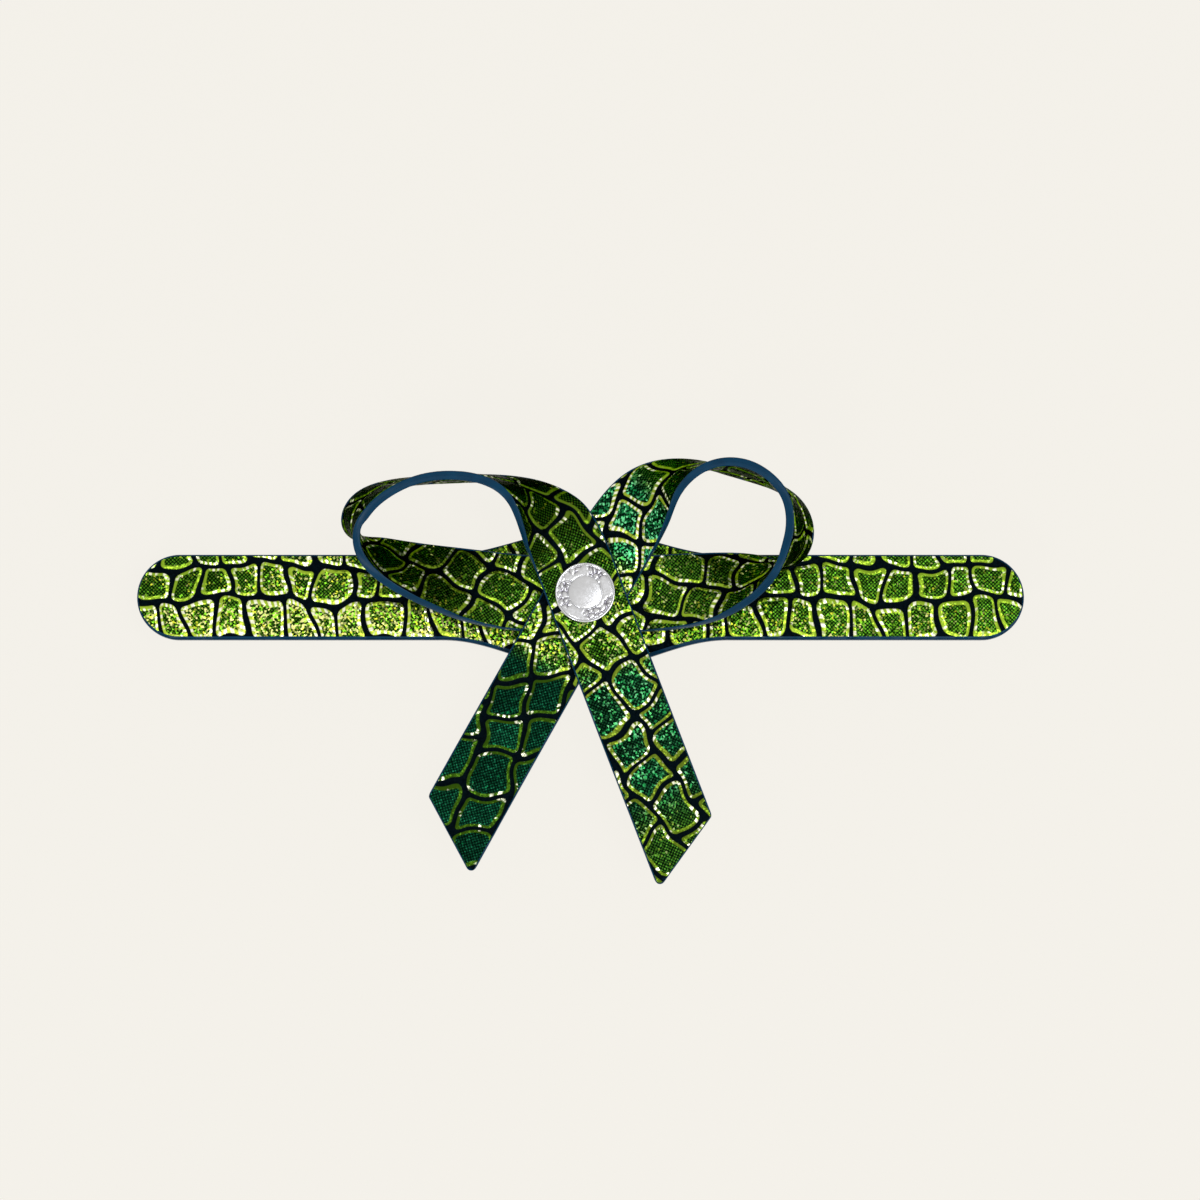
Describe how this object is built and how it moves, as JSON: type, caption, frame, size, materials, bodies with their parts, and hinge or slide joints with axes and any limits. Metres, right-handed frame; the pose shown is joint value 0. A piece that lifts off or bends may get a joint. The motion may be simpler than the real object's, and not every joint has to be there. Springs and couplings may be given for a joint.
{
  "type": "bow hair clip",
  "caption": "Leather bow on a long rounded strap, press-studded at its middle, over a sprung alligator clip that grips the hair.",
  "frame": {"origin": "on the press stud's axis, at the flat under the lower jaw, where the part rests", "axes": "+X along the base strap, towards the clip's finger tab; +Y towards the bow's loops; +Z out of the front"},
  "size_m": [0.187, 0.0909, 0.0292],
  "materials": {
    "croc_leather": "foiled and embossed",
    "lining_leather": "embossed",
    "stiffener": "bonded board",
    "nickel_cap": "polished nickel plate",
    "nickel_stud": "nickel plate",
    "bronze_wire": "drawn",
    "clip_steel": "nickel plated sheet",
    "spring_steel": "drawn wire"
  },
  "bodies": {
    "base": {"base_strap_front": "croc_leather", "base_strap_core": "stiffener", "base_strap_back": "lining_leather", "snap_stud": "nickel_stud", "stud_eyelet": "nickel_stud", "clip_upper_arm": "clip_steel", "clip_rivets": "nickel_stud", "clip_pivot_pin": "nickel_stud", "clip_spring": "spring_steel"},
    "jaw": {"clip_lower_jaw": "clip_steel"},
    "snap_ring": {"snap_ring_spring": "bronze_wire"},
    "bow": {"bow_strap_outer": "croc_leather", "bow_strap_lining": "croc_leather", "snap_cap": "nickel_cap", "cap_post": "nickel_stud", "snap_socket": "nickel_stud"}
  },
  "joints": [
    {"name": "jaw_hinge", "type": "hinge", "parent": "base", "child": "jaw", "pos_m": [0.014, 0, 0.005], "axis": [0, -1, 0], "range_deg": [0, 18], "stiffness_Nm_per_rad": 0.03, "springref_deg": -85.94, "deforming": ["clip_spring"]},
    {"name": "snap_release", "type": "slide", "parent": "base", "child": "snap_ring", "axis": [0, 0, 1], "range_m": [0, 0.02], "deforming": ["snap_ring_spring"]},
    {"name": "bow_swivel", "type": "hinge", "parent": "snap_ring", "child": "bow", "pos_m": [0, 0, 0.0129], "axis": [0, 0, 1], "continuous": true}
  ]
}
